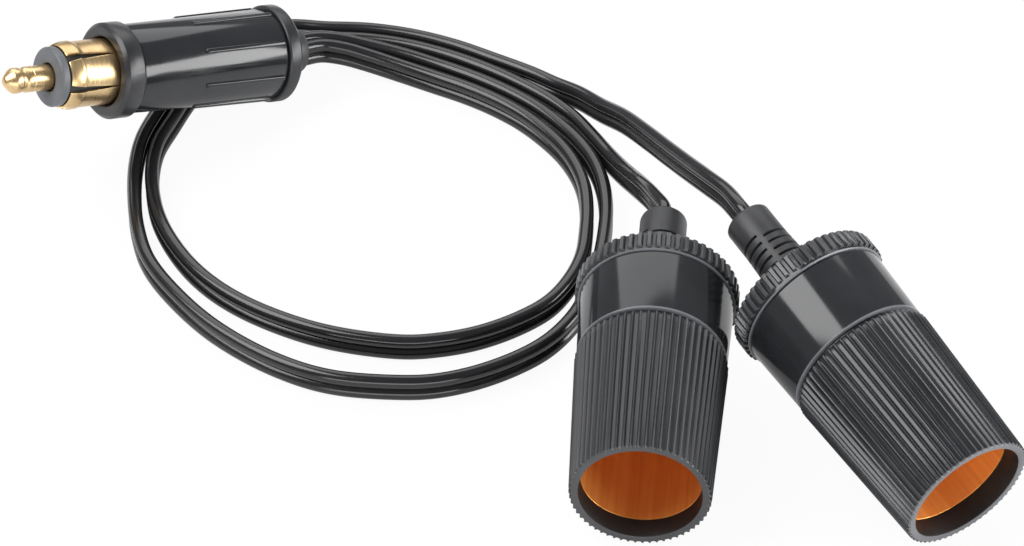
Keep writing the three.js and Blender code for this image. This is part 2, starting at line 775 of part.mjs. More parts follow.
function plugLeads() {
  const half = cable.pitch / 2;
  const start = -plugCableEnd + seatGap;
  const pinArmEnd = -pinTail + 1.2 - socket.tagThickness - socket.tagTail;
  const sleeveTail = -pinTail - cable.leadStraight;
  const upper = socket.tagRing - 0.3;
  const lower = -plug.sleeveRadius + plug.sleeveFlange + socket.tagThickness + cable.lead / 2 - 0.2;
  return [1, -1].flatMap((side, k) => {
    const x = side * plugCableOffset;
    const beside = side * (socket.tagThickness / 2 + seatGap + cable.lead / 2);
    const below = side * (cable.lead / 2 + 0.2);
    return [
      piece(`plug_positive_lead_${k + 1}`, lead([
        [x, half, start], [x, half, start + cable.leadStraight],
        [beside, upper, pinArmEnd - cable.leadStraight - cable.leadLap],
        [beside, upper, pinArmEnd + cable.leadLap],
      ]), finishes.redLead),
      piece(`plug_negative_lead_${k + 1}`, lead([
        [x, -half, start], [x, -half, start + cable.leadStraight],
        [below, lower, sleeveTail - cable.leadStraight], [below, lower, sleeveTail + cable.leadLap],
      ]), finishes.cableBlack),
    ];
  });
}

// The assembly

const plugGroup = laid(
  plugPlace,
  restingHeight(plugPlace, plugCapRadius, plugRear - plug.capChamfer),
  [
    piece('plug_centre_pin', plugPin(), finishes.brass),
    piece('plug_insulator_nose', plugInsulator(), finishes.insulatorGrey),
    piece('plug_spring_sleeve', plugSleeve(), finishes.brass),
    piece('plug_front_flange', plugFlange(), finishes.mattBlack),
    piece('plug_barrel', plugBarrel(), finishes.glossBlack),
    piece('plug_end_cap', plugEndCap(), finishes.mattBlack),
    piece('plug_cable_bush', plugBush(), finishes.rubberBlack),
    piece('plug_pin_tag', plugPinTag(), finishes.brass),
    piece('plug_sleeve_tag', plugSleeveTag(), finishes.brass),
    ...plugLeads(),
  ],
);

// A socket that lies flat touches the floor with its mouth and with the front of its grip
const flatRise = THREE.MathUtils.radToDeg(
  Math.asin((mouthRadius - capRadius) / (capFront + socket.capLip)),
);

const socketGroups = socketPlaces.map(({ x, y, heading, lift }, index) => {
  const name = (word) => `socket_${index + 1}_${word}`;
  const place = { x, y, heading, rise: flatRise - lift };
  return laid(place, restingHeight(place, mouthRadius, 0), [
    piece(name('housing'), socketHousing(), finishes.satinBlack),
    piece(name('rear_cap'), socketCap(), finishes.mattBlack),
    piece(name('cable_boot'), socketBoot(), finishes.rubberBlack),
    piece(name('metal_shell'), socketShell(), finishes.copperShell),
    piece(name('centre_contact'), socketContact(), finishes.brass),
    piece(name('front_insulator'), washer(socket.frontWasherRadius, washerFront), finishes.fibre),
    piece(name('rear_insulator'), washer(socket.rearWasherRadius, rearWasher), finishes.fibre),
    piece(name('contact_bolt'), socketBolt(), finishes.steel),
    piece(name('contact_nut'), socketNut(), finishes.steel),
    piece(name('positive_tag'), socketPositiveTag(), finishes.brass),
    piece(name('negative_tag'), socketNegativeTag(), finishes.brass),
    ...socketLeads(index + 1),
  ]);
});

// Each cable runs straight through the plug's bush and its socket's boot
const cableSteps = 39;
const cables = routes.map((route, index) => {
  const side = index === 0 ? 1 : -1;
  const inPlug = (distance) => (
    plugGroup.localToWorld(new THREE.Vector3(side * plugCableOffset, 0, -distance))
  );
  const inSocket = (distance) => (
    socketGroups[index].localToWorld(new THREE.Vector3(0, 0, -distance))
  );
  const bushEnd = plugRear + seatGap + plug.bushLength;
  const points = [
    inPlug(plugCableEnd), inPlug(bushEnd),
    ...route.map(([x, y, z = cableRest]) => new THREE.Vector3(x, y, z).sub(middle)),
    inSocket(bootRear + 2), inSocket(bootRear), inSocket(socketCableEnd),
  ];
  return piece(`cable_${index + 1}`, swept(twinOutline(), points, cableSteps), finishes.cableBlack);
});

const assembly = new THREE.Group();
assembly.add(plugGroup, ...socketGroups, ...cables);
assembly.updateMatrixWorld(true);

export default assembly;
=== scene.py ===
import math
import bmesh
import bpy
from mathutils import Matrix, Vector


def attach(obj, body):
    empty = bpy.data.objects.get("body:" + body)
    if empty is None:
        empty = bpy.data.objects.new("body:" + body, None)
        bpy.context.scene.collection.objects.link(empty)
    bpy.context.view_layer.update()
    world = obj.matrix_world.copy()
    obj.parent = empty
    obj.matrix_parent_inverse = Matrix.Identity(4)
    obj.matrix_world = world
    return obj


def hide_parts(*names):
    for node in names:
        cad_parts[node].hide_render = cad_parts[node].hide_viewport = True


# A 12 V DIN plug on two flat twin cables that end in two female power sockets.
# Sizes are in millimetres, and mm brings them to Blender's metres. Each turned or moulded
# piece is made about its own axis, front at z = 0 and body along -z, then laid in place.
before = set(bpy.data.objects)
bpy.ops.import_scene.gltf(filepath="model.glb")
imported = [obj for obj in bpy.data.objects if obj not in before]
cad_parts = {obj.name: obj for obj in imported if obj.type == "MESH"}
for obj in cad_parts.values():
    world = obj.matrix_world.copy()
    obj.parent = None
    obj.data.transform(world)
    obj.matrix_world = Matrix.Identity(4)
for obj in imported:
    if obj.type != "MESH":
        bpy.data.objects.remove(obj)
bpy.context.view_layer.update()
mm = 0.001

# Camera, at the photograph's angle
view = {"target": (3.35, 7.28, 0), "distance": 712, "elevation": 41, "lens": 136.4}
tilt = math.radians(view["elevation"])
bpy.ops.object.camera_add(rotation=(math.pi / 2 - tilt, 0, 0))
camera = bpy.context.object
camera.location = mm * (
    Vector(view["target"]) + view["distance"] * Vector((0, -math.cos(tilt), math.sin(tilt)))
)
camera.data.lens = view["lens"]
camera.data.clip_start = 0.01
bpy.context.scene.camera = camera

# Where the plug and sockets lie, as in the model: x and y of the front face's middle in the
# layout, its height, the heading and how far the front points up
middle = Vector((-3.332, -7.28, 0))
plugPlace = {"x": -85.8, "y": 27.1, "height": 24.352, "heading": 214.3, "rise": 17.7}
socketPlaces = [
    {"x": 21.5, "y": -70.7, "height": 12.083, "heading": 265, "rise": -2.994},
    {"x": 76.5, "y": -70.1, "height": 11.878, "heading": 302.1, "rise": -10.994},
]


def placeMatrix(place):
    heading, rise = math.radians(place["heading"]), math.radians(place["rise"])
    front = Vector((
        math.cos(heading) * math.cos(rise), math.sin(heading) * math.cos(rise), math.sin(rise),
    ))
    across = Vector((0, 0, 1)).cross(front).normalized()
    up = front.cross(across)
    turn = Matrix((across, up, front)).transposed().to_4x4()
    spot = (Vector((place["x"], place["y"], place["height"])) - middle) * mm
    return Matrix.Translation(spot) @ turn


plugMatrix = placeMatrix(plugPlace)
socketMatrices = [placeMatrix(place) for place in socketPlaces]

# Cables. Each runs from plugEnd inside the plug, out at bushEnd, over the floor, in at bootEnd
# and on to socketEnd inside its socket, all measured from a front face; lengths is in metres
cable = {
    "conductor": 2.6, "pitch": 2.6, "web": 0.7, "rest": 2.7, "beside": 1.475,
    "plugEnd": 47.5, "bushEnd": 56.25, "bootEnd": 67.15, "socketEnd": 46.75,
    "lengths": (0.406, 0.462), "ringStep": 0.9,
}
# The routes in the layout's x and y, with a height where the cable is off the floor
routes = [
    [
        (-36.9, 58.6, 6.2), (-32.6, 59, 5.2), (-28.2, 58.3, 4.2), (-22.4, 56.4, 3.3),
        (-15.4, 53.4), (-8.9, 49.9), (-3, 45.9), (2, 41.5), (6, 36.8), (9.5, 31.6), (12, 26),
        (13.5, 20), (13.9, 13.5), (13.6, 7), (12.8, 0.5), (10.6, -6), (6.8, -12.2),
        (1.4, -16.8), (-6.1, -20.8), (-13.6, -22.8), (-20, -23.2), (-32.6, -20.7),
        (-43.2, -15.9), (-51.6, -10), (-57.8, -3.3), (-62.5, 4.5), (-65.5, 12), (-67, 19),
        (-67.6, 26), (-67, 33), (-64.8, 40), (-61.4, 49.5), (-56.4, 58.3), (-50.6, 64.1),
        (-43.5, 66.2), (-36.5, 65.6), (-28, 65), (-20.4, 63.2), (-12.4, 59.9), (-5.3, 55.9),
        (1.2, 51.3), (7.1, 46.2), (11.8, 40.8), (15.4, 34.8, 2.8), (18.2, 29, 3.4),
        (20.6, 22.8, 5.2), (22.6, 16.4, 8), (24.2, 10, 11.3), (25.8, 4, 14),
    ],
    [
        (-38.3, 61.1, 6.2), (-34, 62, 5.2), (-28.8, 61.5, 4.2), (-21.4, 59.7, 3.3),
        (-13.9, 56.7), (-7.1, 52.9), (-0.9, 48.6), (4.6, 43.8), (9, 38.6), (12.8, 33),
        (15.6, 27), (17.1, 20.5), (17.5, 13.5), (17, 6.5), (15.8, -1.5), (13.9, -9),
        (11, -16.4), (6.5, -22.8), (1.4, -27.1), (-6, -31.2), (-13.4, -33.5), (-19.8, -33.9),
        (-32.2, -32.4), (-42.1, -27.9), (-53.2, -19.2), (-61.6, -9), (-66.5, -0.5), (-69, 8),
        (-70.3, 17), (-70.8, 26), (-70.2, 34), (-68, 41.8), (-64.2, 51.2), (-58.8, 60.4),
        (-52.5, 66.6), (-44.1, 69.4), (-36.4, 68.8), (-28, 68.3), (-19.5, 66.4), (-11, 63),
        (-3.5, 58.8), (3.6, 54.6), (8.6, 50.4, 3.2), (12.8, 45.9, 4.6), (17.2, 39, 6.9),
        (21.2, 31.6, 10.2), (25.2, 22.6, 13.6), (28.9, 13.8, 16.8), (32.2, 6, 19.7),
        (35.2, -0.8, 22.2), (38.2, -7, 24.1),
    ],
]


# A smooth line through the route's points, with knots spaced by the root of their distance
def smoothLine(points, stepsEach=14):
    line = []
    knots = [2 * points[0] - points[1], *points, 2 * points[-1] - points[-2]]
    for a, b, c, d in zip(knots, knots[1:], knots[2:], knots[3:]):
        gaps = [math.sqrt((q - p).length) for p, q in ((a, b), (b, c), (c, d))]
        leave = ((b - a) / gaps[0] - (c - a) / (gaps[0] + gaps[1]) + (c - b) / gaps[1]) * gaps[1]
        arrive = ((c - b) / gaps[1] - (d - b) / (gaps[1] + gaps[2]) + (d - c) / gaps[2]) * gaps[1]
        for step in range(stepsEach):
            t = step / stepsEach
            line.append(
                b * (2 * t ** 3 - 3 * t ** 2 + 1) + leave * (t ** 3 - 2 * t ** 2 + t)
                + c * (3 * t ** 2 - 2 * t ** 3) + arrive * (t ** 3 - t ** 2)
            )
    return line + [points[-1]]


def evenly(line, spacing):
    walked = [0]
    for a, b in zip(line, line[1:]):
        walked.append(walked[-1] + (b - a).length)
    count = round(walked[-1] / spacing)
    even, at = [], 0
    for k in range(count + 1):
        goal = walked[-1] * k / count
        while at < len(line) - 2 and walked[at + 1] < goal:
            at += 1
        share = (goal - walked[at]) / (walked[at + 1] - walked[at])
        even.append(line[at].lerp(line[at + 1], share))
    return even


# The twin's outline on edge: two round conductors, one over the other, with a web between
def twinOutline():
    radius, half = cable["conductor"] / 2, cable["pitch"] / 2
    outline = []
    for side in (1, -1):
        for degrees in range(-156, 157, 24):
            angle = math.radians(degrees + 90 * side)
            outline.append((radius * math.cos(angle), side * half + radius * math.sin(angle)))
        outline.append((-side * cable["web"] / 2, 0.0))
    return outline


def makeCable(number, route):
    side = 1 if number == 1 else -1
    inPlug = [
        plugMatrix @ (Vector((side * cable["beside"], 0, -s)) * mm)
        for s in (cable["plugEnd"], cable["bushEnd"])
    ]
    inSocket = [
        socketMatrices[number - 1] @ (Vector((0, 0, -s)) * mm)
        for s in (cable["bootEnd"] + 2, cable["bootEnd"], cable["socketEnd"])
    ]
    onFloor = [
        (Vector((p[0], p[1], p[2] if len(p) > 2 else cable["rest"])) - middle) * mm for p in route
    ]
    path = evenly(smoothLine(inPlug + onFloor + inSocket), cable["ringStep"] * mm)
    outline = twinOutline()
    rings = []
    for k, point in enumerate(path):
        ahead = path[min(k + 1, len(path) - 1)] - path[max(k - 1, 0)]
        across = ahead.cross(Vector((0, 0, 1))).normalized()
        up = across.cross(ahead).normalized()
        rings.append([point + (x * across + y * up) * mm for x, y in outline])
    around = len(outline)
    faces = [
        (r * around + i, r * around + (i + 1) % around,
         (r + 1) * around + (i + 1) % around, (r + 1) * around + i)
        for r in range(len(rings) - 1) for i in range(around)
    ]
    last = (len(path) - 1) * around
    faces += [tuple(range(around))[::-1], tuple(range(last, last + around))]
    mesh = bpy.data.meshes.new(f"twin_cable_{number}")
    mesh.from_pydata([tuple(p) for ring in rings for p in ring], [], faces)
    mesh.update()
    twin = bpy.data.objects.new(f"twin_cable_{number}", mesh)
    bpy.context.collection.objects.link(twin)
    bpy.ops.object.select_all(action="DESELECT")
    twin.select_set(True)
    bpy.context.view_layer.objects.active = twin
    bpy.ops.object.mode_set(mode="EDIT")
    bpy.ops.mesh.select_all(action="SELECT")
    bpy.ops.mesh.normals_make_consistent(inside=False)
    bpy.ops.object.mode_set(mode="OBJECT")
    bpy.ops.object.shade_smooth_by_angle(angle=math.radians(60))
    walked = sum((b - a).length for a, b in zip(path, path[1:]))
    print(f"cable {number}: {1000 * walked:.1f} mm, {len(path)} rings")
    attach(twin, "root")
    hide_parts(f"cable_{number}")
    return twin


twins = [
    makeCable(number, route)
    for number, route, length in zip((1, 2), routes, cable["lengths"])
]
print("camera and cables made")


# Modelling helpers: a ring of points is extruded and scaled, ring by ring, into a piece
def startRing(name, sides):
    bpy.ops.object.select_all(action="DESELECT")
    bpy.ops.mesh.primitive_circle_add(vertices=sides, radius=mm, fill_type="NOTHING")
    ring = bpy.context.object
    ring.name = ring.data.name = name
    bpy.ops.object.mode_set(mode="EDIT")
    bpy.ops.mesh.select_all(action="SELECT")
    return ring


# Moves the ring that is selected to height z and to a circle of this radius, or to the radius
# that an outline gives at each point's degrees round the axis
def shapeRing(piece, z, outline):
    shell = bmesh.from_edit_mesh(piece.data)
    for point in shell.verts:
        if point.select:
            degrees = math.degrees(math.atan2(point.co.y, point.co.x)) % 360
            radius = outline(degrees) if callable(outline) else outline
            angle = math.radians(degrees)
            point.co = Vector((radius * math.cos(angle), radius * math.sin(angle), z)) * mm
    bmesh.update_edit_mesh(piece.data)


# A piece from (outline, z) rings; a closed one ends at its first ring and so keeps its bore
def turnedPiece(name, profile, sides=96, bevel=0.0, smooth=32, closed=False):
    firstOutline, lastZ = profile[0]
    piece = startRing(name, sides)
    shapeRing(piece, lastZ, firstOutline)
    for outline, z in profile[1:] + (profile[:1] if closed else []):
        bpy.ops.mesh.extrude_edges_move(
            TRANSFORM_OT_translate={"value": (0, 0, (z - lastZ) * mm)}
        )
        shapeRing(piece, z, outline)
        lastZ = z
    bpy.ops.mesh.select_all(action="SELECT")
    bpy.ops.mesh.remove_doubles(threshold=2e-6)
    bpy.ops.mesh.fill_holes(sides=0)
    bpy.ops.mesh.select_all(action="SELECT")
    bpy.ops.mesh.normals_make_consistent(inside=False)
    bpy.ops.object.mode_set(mode="OBJECT")
    if bevel:
        addBevel(piece, bevel)
    bpy.ops.object.shade_smooth_by_angle(angle=math.radians(smooth))
    return piece


def addBevel(piece, width, segments=2, angle=38):
    chosen(piece)
    bpy.ops.object.modifier_add(type="BEVEL")
    edge = piece.modifiers[-1]
    edge.width = width * mm
    edge.segments = segments
    edge.limit_method = "ANGLE"
    edge.angle_limit = math.radians(angle)
    bpy.ops.object.modifier_apply(modifier=edge.name)


def chosen(*pieces):
    bpy.ops.object.select_all(action="DESELECT")
    for piece in pieces:
        piece.select_set(True)
    bpy.context.view_layer.objects.active = pieces[0]


def joinPieces(*pieces):
    chosen(*pieces)
    bpy.ops.object.join()
    return pieces[0]


# The piece and its copies, evenly round the z axis
def copiedRound(piece, count):
    pieces = [piece]
    for k in range(1, count):
        chosen(piece)
        bpy.ops.object.duplicate()
        copy = bpy.context.object
        copy.rotation_euler.z = 2 * math.pi * k / count
        bpy.ops.object.transform_apply(rotation=True)
        pieces.append(copy)
    return pieces


# Cuts the cutters out of a piece, and deletes them
def cutOut(piece, *cutters):
    for cutter in cutters:
        chosen(piece)
        bpy.ops.object.modifier_add(type="BOOLEAN")
        hole = piece.modifiers[-1]
        hole.operation = "DIFFERENCE"
        hole.solver = "EXACT"
        hole.object = cutter
        bpy.ops.object.modifier_apply(modifier=hole.name)
        bpy.data.objects.remove(cutter)
    return piece


def putInPlace(piece, matrix, slot, *nodes):
    chosen(piece)
    piece.matrix_world = matrix
    bpy.ops.object.transform_apply(location=True, rotation=True, scale=True)
    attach(piece, "root")
    if nodes:
        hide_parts(*nodes)
    return piece


# A toothed or fluted outline: rounded ribs between hollows, radius by degrees round the axis
def ribbed(crest, depth, ribs, crestShare=0.45, softness=0.22):
    def outline(degrees):
        place = (degrees * ribs / 360) % 1
        away = abs(place - 0.5) * 2              # 0 on the crest, 1 in the hollow
        t = min(1, max(0, (away - crestShare + softness) / (2 * softness)))
        return crest - depth * t * t * (3 - 2 * t)
    return outline


# Materials
def newMaterial(name):
    material = bpy.data.materials.new(name)
    material.use_nodes = True
    nodes = material.node_tree.nodes
    nodes.clear()
    output = nodes.new("ShaderNodeOutputMaterial")
    shader = nodes.new("ShaderNodeBsdfPrincipled")
    material.node_tree.links.new(shader.outputs["BSDF"], output.inputs["Surface"])
    return material, nodes, material.node_tree.links, shader


# Where a pattern is read: in the scene's axes or, with a matrix, in a piece's own, stretched
def patternPlace(nodes, links, matrix=None, stretch=(1, 1, 1)):
    coordinates = nodes.new("ShaderNodeTexCoord")
    if matrix is None:
        return coordinates.outputs["Object"]
    turn = nodes.new("ShaderNodeMapping")
    back = matrix.inverted()
    turn.inputs["Location"].default_value = back.translation
    turn.inputs["Rotation"].default_value = back.to_euler()
    links.new(coordinates.outputs["Object"], turn.inputs["Vector"])
    scale = nodes.new("ShaderNodeMapping")
    scale.inputs["Scale"].default_value = stretch
    links.new(turn.outputs["Vector"], scale.inputs["Vector"])
    return scale.outputs["Vector"]


def noise(nodes, links, vector, scale, detail=3, roughness=0.55):
    texture = nodes.new("ShaderNodeTexNoise")
    texture.inputs["Scale"].default_value = scale
    texture.inputs["Detail"].default_value = detail
    texture.inputs["Roughness"].default_value = roughness
    links.new(vector, texture.inputs["Vector"])
    return texture.outputs["Fac"]


def ranged(nodes, links, value, low, high, fromLow=0.3, fromHigh=0.7):
    spread = nodes.new("ShaderNodeMapRange")
    spread.inputs["From Min"].default_value = fromLow
    spread.inputs["From Max"].default_value = fromHigh
    spread.inputs["To Min"].default_value = low
    spread.inputs["To Max"].default_value = high
    links.new(value, spread.inputs["Value"])
    return spread.outputs["Result"]


def mixed(nodes, links, factor, low, high):
    mix = nodes.new("ShaderNodeMix")
    mix.data_type = "RGBA"
    for socket, colour in ((mix.inputs[6], low), (mix.inputs[7], high)):
        if isinstance(colour, tuple):
            socket.default_value = (*colour, 1)
        else:
            links.new(colour, socket)
    links.new(factor, mix.inputs["Factor"])
    return mix.outputs[2]


def bumped(nodes, links, shader, height, distance):
    bump = nodes.new("ShaderNodeBump")
    bump.inputs["Distance"].default_value = distance * mm
    links.new(height, bump.inputs["Height"])
    links.new(bump.outputs["Normal"], shader.inputs["Normal"])


# Moulded plastic or rubber: a fine grain, uneven gloss, and, when asked, paler edges that are a
# painted highlight
def moulded(name, colour, roughness, grain, grainDepth, uneven=0.08, paintedEdgeHighlight=0.0):
    material, nodes, links, shader = newMaterial(name)
    place = patternPlace(nodes, links)
    broad = noise(nodes, links, place, 90, 2)
    fine = noise(nodes, links, place, grain, 4)
    dark = tuple(0.82 * c for c in colour)
    pale = tuple(1.2 * c for c in colour)
    tone = mixed(nodes, links, ranged(nodes, links, broad, 0, 1), dark, pale)
    # Sharp edges and crests are painted paler, broken up by the grain: a painted highlight
    if paintedEdgeHighlight:
        shape = nodes.new("ShaderNodeNewGeometry")
        edge = ranged(nodes, links, shape.outputs["Pointiness"], 0, paintedEdgeHighlight, 0.52, 0.6)
        edgeHighlightShare = nodes.new("ShaderNodeMath")
        edgeHighlightShare.operation = "MULTIPLY"
        links.new(edge, edgeHighlightShare.inputs[0])
        links.new(ranged(nodes, links, fine, 0.6, 1), edgeHighlightShare.inputs[1])
        tone = mixed(nodes, links, edgeHighlightShare.outputs[0], tone, (0.2, 0.2, 0.21))
    links.new(tone, shader.inputs["Base Color"])
    links.new(
        ranged(nodes, links, broad, roughness - uneven, roughness + uneven),
        shader.inputs["Roughness"],
    )
    bumped(nodes, links, shader, fine, grainDepth)
    return material


# Turned or drawn metal: tool lines round the axis, cloudy tarnish
def turnedMetal(
    name, bright, dull, roughness, matrix, lines=9000, lineDepth=0.004, along=False, metallic=1,
):
    material, nodes, links, shader = newMaterial(name)
    stretch = (1, 1, 0.02) if along else (0.02, 0.02, 1)
    tool = noise(nodes, links, patternPlace(nodes, links, matrix, stretch), lines, 2)
    cloud = noise(nodes, links, patternPlace(nodes, links), 160, 3)
    tone = mixed(nodes, links, ranged(nodes, links, tool if along else cloud, 0, 1), bright, dull)
    links.new(tone, shader.inputs["Base Color"])
    shader.inputs["Metallic"].default_value = metallic
    links.new(
        ranged(nodes, links, tool, roughness - 0.07, roughness + 0.09), shader.inputs["Roughness"]
    )
    bumped(nodes, links, shader, tool, lineDepth)
    return material


def finish(piece, material):
    piece.data.materials.clear()
    piece.data.materials.append(material)


# Gives a second finish to the faces that pass a test of their radius and z in millimetres,
# before the piece is put in place
def finishFaces(piece, material, test):
    piece.data.materials.append(material)
    index = len(piece.data.materials) - 1
    for face in piece.data.polygons:
        spot = face.center / mm
        if test(math.hypot(spot.x, spot.y), spot.z):
            face.material_index = index


def finishNode(name, material):
    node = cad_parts[name]
    for slot in node.material_slots:
        slot.material = material
    if not node.material_slots:
        node.data.materials.append(material)


twinBlack = moulded("cable_black", (0.011, 0.011, 0.012), 0.17, 420, 0.012, uneven=0.04)
for twin in twins:
    finish(twin, twinBlack)


# Room between pieces that sit against or inside each other
seatGap = 0.25

# Plug
plug = {
    "pinRadius": 2.4, "pinGroove": 2.24,
    "insulatorRadius": 5.6, "insulatorBore": 2.65, "insulatorFront": 1.6, "insulatorLength": 20,
    "sleeveRadius": 6.2, "sleeveBore": 5.65, "sleeveFront": 1.85, "slotWidth": 1.45,
    "slotRoot": 0.24, "leaves": 6, "leafTurn": 5,
    "face": 11.8, "flangeRadius": 9.05, "flangeRear": 15.7, "spigotRear": 20.7,
    "spigotRadius": 6.95,
    "barrelFront": 15.95, "barrelRear": 48.15, "barrelRadii": (8.4, 8.75), "barrelBore": 7.2,
    "fins": 8, "finLength": 18, "finHeight": 0.45, "finWidth": 1.0,
    "capFront": 48.4, "capRear": 51.4, "capRadius": 9.35, "capHole": 4.6, "capWall": 1.8,
}


def makePin():
    radius, groove = plug["pinRadius"], plug["pinGroove"]
    profile = [
        (0.3, 9.4), (0.62, 9.33), (0.95, 9.13), (1.35, 8.78), (1.8, 8.34), (2.1, 8.0),
        (2.29, 7.74), (2.38, 7.5), (radius, 7.25), (radius, 6.42), (radius - 0.05, 6.3),
        (groove, 6.17), (groove - 0.02, 5.75), (groove, 5.28), (radius - 0.05, 5.15),
        (radius, 5.03), (radius, 4.05), (radius - 0.07, 3.97), (radius - 0.07, 3.85),
        (radius, 3.77), (radius, -20.25), (1.5, -20.75), (1.5, -27),
    ]
    return turnedPiece("turned_pin", profile, sides=64, smooth=40)


def makeInsulator():
    radius, bore = plug["insulatorRadius"], plug["insulatorBore"]
    body, step, rear = (
        plug["sleeveBore"] - seatGap, -plug["insulatorFront"], -plug["insulatorLength"]
    )
    profile = [
        (bore, -0.25), (bore + 0.25, 0), (radius - 0.35, 0), (radius, -0.35),
        (radius, step), (body, step), (body, rear), (bore, rear),
    ]
    return turnedPiece("insulator_nose", profile, sides=80, bevel=0.07, closed=True)


# Spring leaves: a grid is bent into one, narrower in front where the slots open
def makeSleeve():
    front, root, radius = -plug["sleeveFront"], -plug["face"] + 0.6, plug["sleeveRadius"]
    rear = -plug["spigotRear"] - seatGap
    each, narrow, wide = 360 / plug["leaves"], plug["slotRoot"], plug["slotWidth"]
    rows = [
        (front, 5.76), (front - 0.5, 6.0), (front - 1.3, 6.24), (front - 2.2, 6.4),
        (front - 2.7, 6.42), (front - 2.95, 6.26), (front - 3.6, radius), (front - 5.4, radius),
        (front - 7.4, radius), (root, radius), (root - 1, radius), (rear, radius),
        (rear, radius + 0.7),
    ]
    bpy.ops.object.select_all(action="DESELECT")
    bpy.ops.mesh.primitive_grid_add(x_subdivisions=20, y_subdivisions=len(rows) - 1, size=2)
    leaf = bpy.context.object
    for point in leaf.data.vertices:
        z, r = rows[round((point.co.y + 1) / 2 * (len(rows) - 1))]
        opened = max(0, (z - root) / (front - root))
        slot = narrow + (wide - narrow) * opened if z >= root else 0
        half = math.degrees(slot / 2 / r)
        angle = math.radians(plug["leafTurn"] + half + (point.co.x + 1) / 2 * (each - 2 * half))
        point.co = Vector((r * math.cos(angle), r * math.sin(angle), z)) * mm
    sleeve = joinPieces(*copiedRound(leaf, plug["leaves"]))
    sleeve.name = sleeve.data.name = "spring_sleeve"
    bpy.ops.object.mode_set(mode="EDIT")
    bpy.ops.mesh.select_all(action="SELECT")
    bpy.ops.mesh.remove_doubles(threshold=2e-6)
    bpy.ops.mesh.normals_make_consistent(inside=False)
    bpy.ops.object.mode_set(mode="OBJECT")
    outward = sum(
        1 if face.normal.dot(Vector((face.center.x, face.center.y, 0))) > 0 else -1
        for face in sleeve.data.polygons
    )
    bpy.ops.object.modifier_add(type="SOLIDIFY")
    wall = sleeve.modifiers[-1]
    wall.thickness = (radius - plug["sleeveBore"]) * mm
    wall.offset = -1 if outward > 0 else 1
    wall.use_even_offset = True
    bpy.ops.object.modifier_apply(modifier=wall.name)
    addBevel(sleeve, 0.09, 2, 50)
    bpy.ops.object.shade_smooth_by_angle(angle=math.radians(40))
    return sleeve


def makeFlange():
    bore, radius, spigot = plug["sleeveRadius"] + 0.28, plug["flangeRadius"], plug["spigotRadius"]
    profile = [
        (bore, -plug["face"] - 0.3), (bore + 0.3, -plug["face"]),
        (radius - 0.7, -plug["face"]), (radius, -plug["face"] - 0.7),
        (radius, -plug["flangeRear"]), (spigot, -plug["flangeRear"]),
        (spigot, -plug["spigotRear"]), (bore, -plug["spigotRear"]),
    ]
    return turnedPiece("front_flange", profile, sides=128, bevel=0.07, smooth=24, closed=True)


# The barrel, and one grip fin that is copied round it
def makeBarrel():
    front, rear = -plug["barrelFront"], -plug["barrelRear"]
    frontRadius, rearRadius = plug["barrelRadii"]
    profile = [
        (plug["barrelBore"], front), (frontRadius - 0.3, front), (frontRadius, front - 0.3),
        (frontRadius + 0.12, front - 12), (rearRadius, rear), (plug["barrelBore"], rear),
    ]
    barrel = turnedPiece("plug_shell", profile, sides=160, bevel=0.1, closed=True)
    finRear, length = rear + 0.4, plug["finLength"]
    bpy.ops.object.select_all(action="DESELECT")
    bpy.ops.mesh.primitive_cube_add(size=1)
    fin = bpy.context.object
    bpy.ops.object.mode_set(mode="EDIT")
    bpy.ops.mesh.select_all(action="SELECT")
    top = rearRadius + plug["finHeight"]
    bpy.ops.transform.resize(value=(1.2 * mm, plug["finWidth"] * mm, length * mm))
    bpy.ops.transform.translate(value=((top - 0.6) * mm, 0, (finRear + length / 2) * mm))
    bpy.ops.object.mode_set(mode="OBJECT")
    for point in fin.data.vertices:
        if point.co.z > (finRear + length / 2) * mm:
            point.co.x -= 0.2 * mm
            if point.co.x > (top - 0.9) * mm:
                point.co.z -= 0.35 * mm
    addBevel(fin, 0.3, 4, 30)
    barrel = joinPieces(barrel, *copiedRound(fin, plug["fins"]))
    bpy.ops.object.shade_smooth_by_angle(angle=math.radians(34))
    return barrel


def makeEndCap():
    front, rear, radius = -plug["capFront"], -plug["capRear"], plug["capRadius"]
    spigot, hole, wallFront = plug["spigotRadius"], plug["capHole"], rear + plug["capWall"]
    profile = [
        (spigot - 1.2, wallFront), (spigot - 1.2, front + 5), (spigot, front + 5),
        (spigot, front), (radius - 0.25, front), (radius, front - 0.25), (radius, rear + 0.6),
        (radius - 0.6, rear), (hole, rear), (hole, wallFront),
    ]
    return turnedPiece("plug_end_ring", profile, sides=128, bevel=0.08, smooth=26, closed=True)


# A cable's slot through a bush or boot, as a cutter: two rods and the web between them
def slotCutter(x, front, back, room=0.35):
    radius, half = cable["conductor"] / 2 + room, cable["pitch"] / 2
    parts = []
    for side in (1, -1):
        bpy.ops.mesh.primitive_cylinder_add(
            vertices=32, radius=radius * mm, depth=(front - back) * mm,
            location=(x * mm, side * half * mm, (front + back) / 2 * mm),
        )
        parts.append(bpy.context.object)
    bpy.ops.mesh.primitive_cube_add(
        size=1, location=(x * mm, 0, (front + back) / 2 * mm),
        scale=(2 * radius * mm, 2 * half * mm, (front - back) * mm),
    )
    parts.append(bpy.context.object)
    for part in parts:
        chosen(part)
        bpy.ops.object.transform_apply(location=True, rotation=True, scale=True)
    return parts


